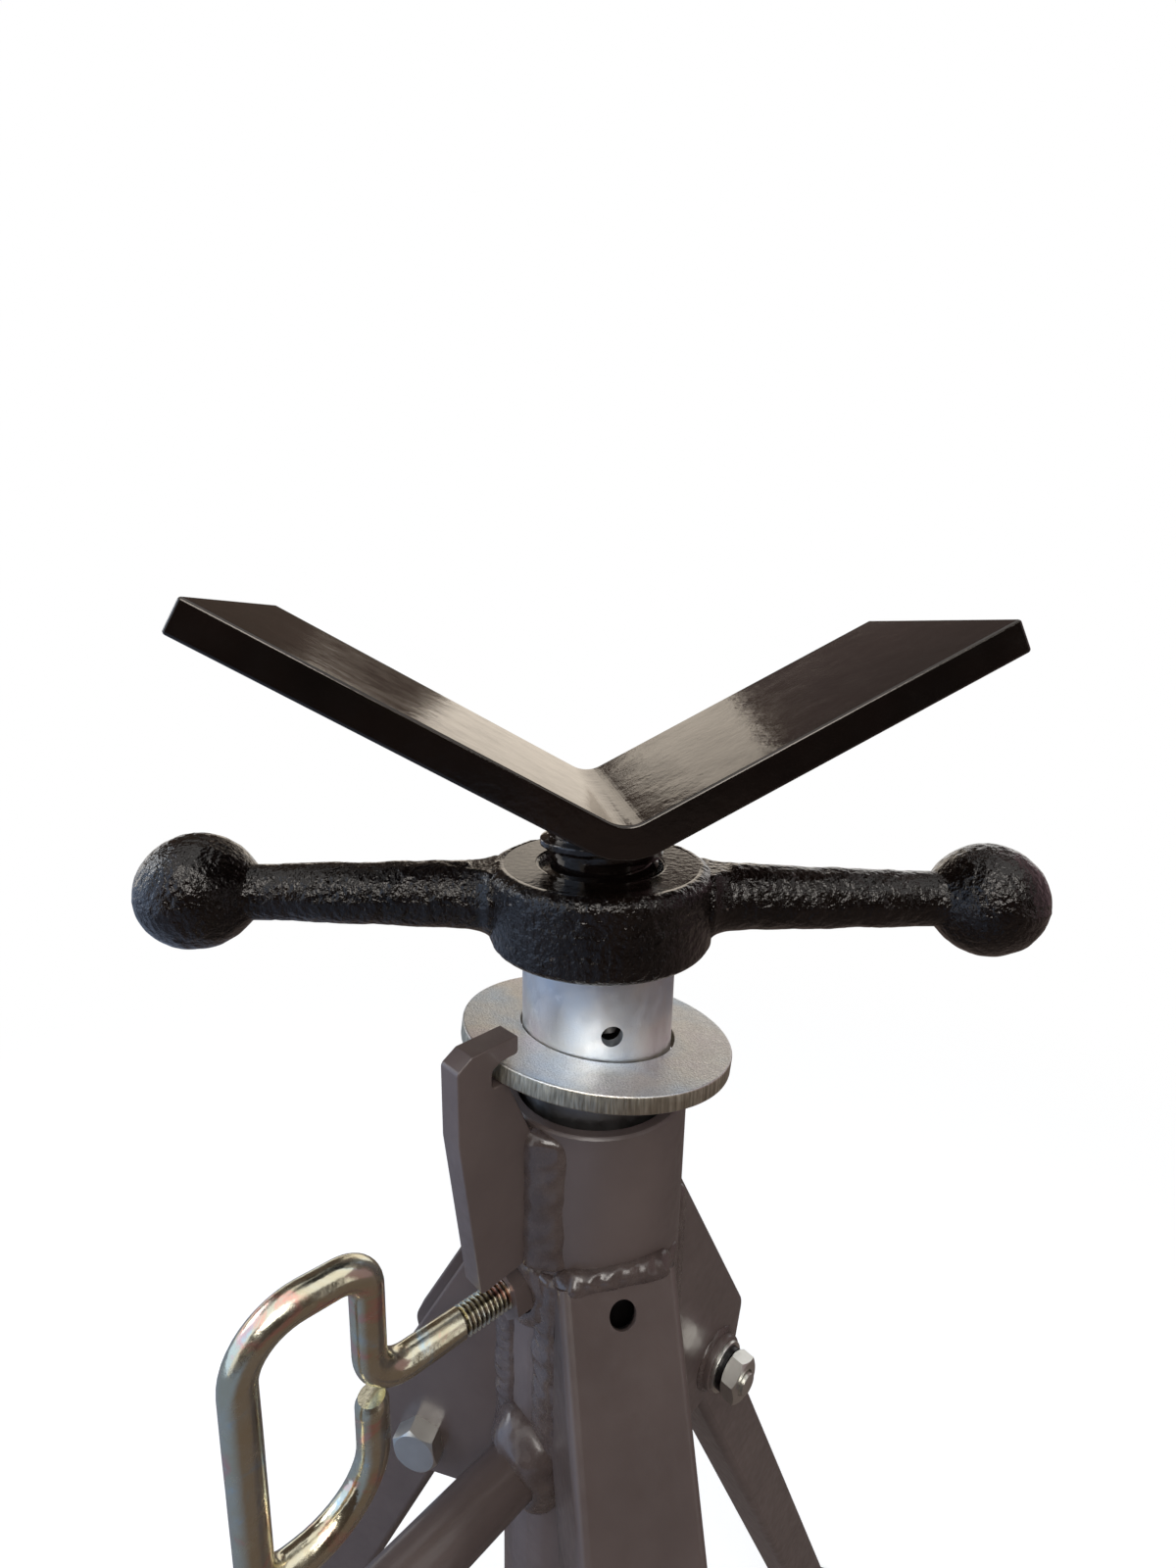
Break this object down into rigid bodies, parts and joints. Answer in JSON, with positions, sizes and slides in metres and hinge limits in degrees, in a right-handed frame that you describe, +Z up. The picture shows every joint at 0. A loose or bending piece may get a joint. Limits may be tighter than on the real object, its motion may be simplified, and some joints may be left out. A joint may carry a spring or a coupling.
{
  "type": "pipe jack stand",
  "caption": "Folding tripod pipe stand: sliding post with a self-locking friction disc and clamp screw, ball-handled screw jack and a wide vee head.",
  "frame": {"origin": "on the floor under the centre of the part's bounding box; the post's axis stands 70.2 mm behind it along +Y", "axes": "+Z up along the post; the fixed leg points along -Y; the folding legs stand 120 degrees to either side of it"},
  "size_m": [0.5622, 0.497, 0.7652],
  "materials": {
    "frame_paint": "semi-gloss taupe powder coat",
    "black_paint": "gloss black, worn at the edges",
    "cast_black": "gloss black over a rough casting",
    "zinc_satin": "satin clear zinc plate",
    "zinc_bright": "bright zinc plate",
    "zinc_yellow": "zinc plate with a faint yellow tint"
  },
  "bodies": {
    "frame": {"main_tube": "frame_paint", "front_leg": "frame_paint", "front_foot": "frame_paint", "hook_plate": "frame_paint", "clamp_nut": "frame_paint", "carry_handle": "frame_paint", "left_plate_head_side": "frame_paint", "left_plate_nut_side": "frame_paint", "right_plate_head_side": "frame_paint", "right_plate_nut_side": "frame_paint", "pivot_bosses": "frame_paint", "pivot_bolts": "zinc_bright", "pivot_washers": "zinc_bright", "pivot_lock_washers": "zinc_bright", "pivot_nuts": "zinc_bright"},
    "inner": {"inner_tube": "zinc_satin"},
    "nut": {"jack_nut": "cast_black"},
    "screw": {"acme_screw": "black_paint"},
    "head": {"screw_neck": "black_paint", "vee_head": "black_paint"},
    "disc": {"friction_disc": "zinc_satin"},
    "clamp_bar": {"clamp_thread": "zinc_yellow"},
    "clamp_grip": {"clamp_handle": "zinc_yellow"},
    "leg_left": {"rear_leg_left": "frame_paint", "rear_foot_left": "frame_paint"},
    "leg_right": {"rear_leg_right": "frame_paint", "rear_foot_right": "frame_paint"}
  },
  "joints": [
    {"name": "tube_slide", "type": "slide", "parent": "frame", "child": "inner", "axis": [0, 0, 1], "range_m": [-0.01, 0.48]},
    {"name": "nut_turn", "type": "hinge", "parent": "inner", "child": "nut", "pos_m": [0, 0.07018, 0.665], "axis": [0, 0, -1], "range_deg": [-180, 5400]},
    {"name": "screw_lift", "type": "slide", "parent": "inner", "child": "screw", "axis": [0, 0, 1], "range_m": [-0.0035, 0.0955]},
    {"name": "head_swivel", "type": "hinge", "parent": "screw", "child": "head", "pos_m": [0, 0.07018, 0.694], "axis": [0, 0, 1], "continuous": true},
    {"name": "disc_tilt", "type": "hinge", "parent": "frame", "child": "disc", "pos_m": [-0.03767, 0.04843, 0.6356], "axis": [0.5, -0.866, 0], "range_deg": [0, 9]},
    {"name": "clamp_feed", "type": "slide", "parent": "frame", "child": "clamp_bar", "axis": [-0.9063, -0.4226, 0], "range_m": [0, 0.00317]},
    {"name": "clamp_turn", "type": "hinge", "parent": "clamp_bar", "child": "clamp_grip", "pos_m": [-0.05438, 0.04482, 0.554], "axis": [-0.9063, -0.4226, 0], "range_deg": [0, 725]},
    {"name": "leg_left_fold", "type": "hinge", "parent": "frame", "child": "leg_left", "pos_m": [-0.0498, 0.09893, 0.468], "axis": [-0.5, -0.866, 0], "range_deg": [0, 25.5]},
    {"name": "leg_right_fold", "type": "hinge", "parent": "frame", "child": "leg_right", "pos_m": [0.0498, 0.09893, 0.468], "axis": [-0.5, 0.866, 0], "range_deg": [0, 25.5]}
  ],
  "couplings": [
    {"joint": "screw_lift", "follows": "nut_turn", "m_per_rad": 0.0010106},
    {"joint": "clamp_turn", "follows": "clamp_feed", "rad_per_m": 3957.9}
  ]
}
